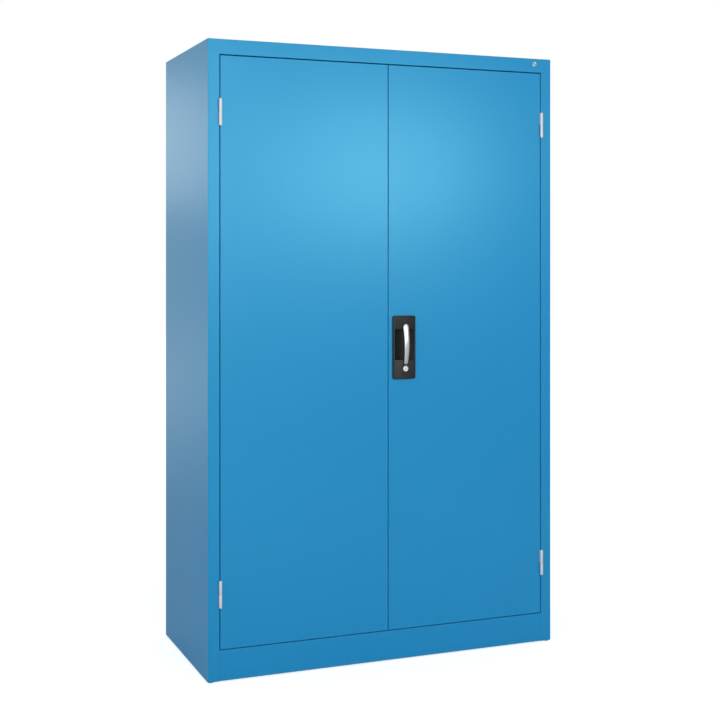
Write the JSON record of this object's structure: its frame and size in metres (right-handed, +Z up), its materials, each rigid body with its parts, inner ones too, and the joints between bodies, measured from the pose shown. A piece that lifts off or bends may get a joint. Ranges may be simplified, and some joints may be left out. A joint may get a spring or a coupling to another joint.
{
  "type": "tool cabinet",
  "caption": "Tall steel tool cabinet with hinged double doors, adjustable shelves, outside barrel hinges and a recessed turn handle that drives a locking rod bolt.",
  "frame": {"origin": "on the floor, at the middle of the whole bounding box, handle bow included", "axes": "+Z up, the doors face -Y, +X to the right of someone facing the doors"},
  "size_m": [1.2, 0.524, 1.953],
  "materials": {
    "blue_paint": "semi-gloss powder coat",
    "inner_paint": "semi-gloss powder coat",
    "zinc": "zinc plated",
    "satin_metal": "satin nickel",
    "black_plastic": "fine texture",
    "dark_plastic": "smooth",
    "white_plastic": "natural",
    "brass": "plain",
    "buffer_rubber": "matt"
  },
  "bodies": {
    "cabinet": {"left_side": "blue_paint", "right_side": "blue_paint", "top_panel": "blue_paint", "back_panel": "blue_paint", "bottom_panel": "blue_paint", "plinth": "blue_paint", "corner_plates": "inner_paint", "glides": "dark_plastic", "glide_nuts": "zinc", "upright_front_left": "inner_paint", "upright_front_right": "inner_paint", "upright_rear_left": "inner_paint", "upright_rear_right": "inner_paint", "shelf_clips": "zinc", "shelf_lowest": "inner_paint", "shelf_lower": "inner_paint", "shelf_upper": "inner_paint", "shelf_highest": "inner_paint", "door_buffers": "buffer_rubber", "frame_knuckles": "zinc", "hinge_pins": "zinc", "hinge_washers": "brass", "cap_ring": "satin_metal", "cap_disc": "dark_plastic"},
    "left_leaf": {"left_door": "blue_paint", "left_stiffener": "inner_paint", "left_knuckles": "zinc"},
    "right_leaf": {"right_door": "blue_paint", "right_stiffener": "inner_paint", "right_knuckles": "zinc", "escutcheon": "black_plastic", "escutcheon_screws": "zinc", "lock_tray": "zinc", "lock_cover": "zinc", "cover_screws": "zinc", "backing_blocks": "white_plastic", "rod_guides": "white_plastic", "guide_screws": "zinc", "cylinder_housing": "satin_metal", "lock_nut": "zinc"},
    "handle": {"handle_bow": "satin_metal", "spindle": "zinc", "spindle_washer": "zinc", "spindle_screw": "zinc", "tongue": "zinc", "pinion": "zinc"},
    "key_core": {"key_plug": "satin_metal", "lock_cam": "zinc", "cam_screw": "zinc"},
    "rod_up": {"upper_rod": "zinc"},
    "rod_down": {"lower_rod": "zinc", "rod_lug": "zinc"}
  },
  "joints": [
    {"name": "left_door_hinge", "type": "hinge", "parent": "cabinet", "child": "left_leaf", "pos_m": [-0.56175, -0.2435, 1], "axis": [0, 0, -1], "range_deg": [0, 180]},
    {"name": "right_door_hinge", "type": "hinge", "parent": "cabinet", "child": "right_leaf", "pos_m": [0.56175, -0.2435, 1], "axis": [0, 0, 1], "range_deg": [0, 180]},
    {"name": "handle_turn", "type": "hinge", "parent": "right_leaf", "child": "handle", "pos_m": [0.056, -0.238, 1.0665], "axis": [0, -1, 0], "range_deg": [0, 90]},
    {"name": "key_turn", "type": "hinge", "parent": "right_leaf", "child": "key_core", "pos_m": [0.056, -0.238, 0.933], "axis": [0, -1, 0], "range_deg": [0, 90]},
    {"name": "upper_rod_slide", "type": "slide", "parent": "right_leaf", "child": "rod_up", "axis": [0, 0, 1], "range_m": [0, 0.022]},
    {"name": "lower_rod_slide", "type": "slide", "parent": "right_leaf", "child": "rod_down", "axis": [0, 0, -1], "range_m": [0, 0.022]}
  ],
  "couplings": [
    {"joint": "upper_rod_slide", "follows": "handle_turn", "m_per_rad": 0.014},
    {"joint": "lower_rod_slide", "follows": "handle_turn", "m_per_rad": 0.014}
  ]
}
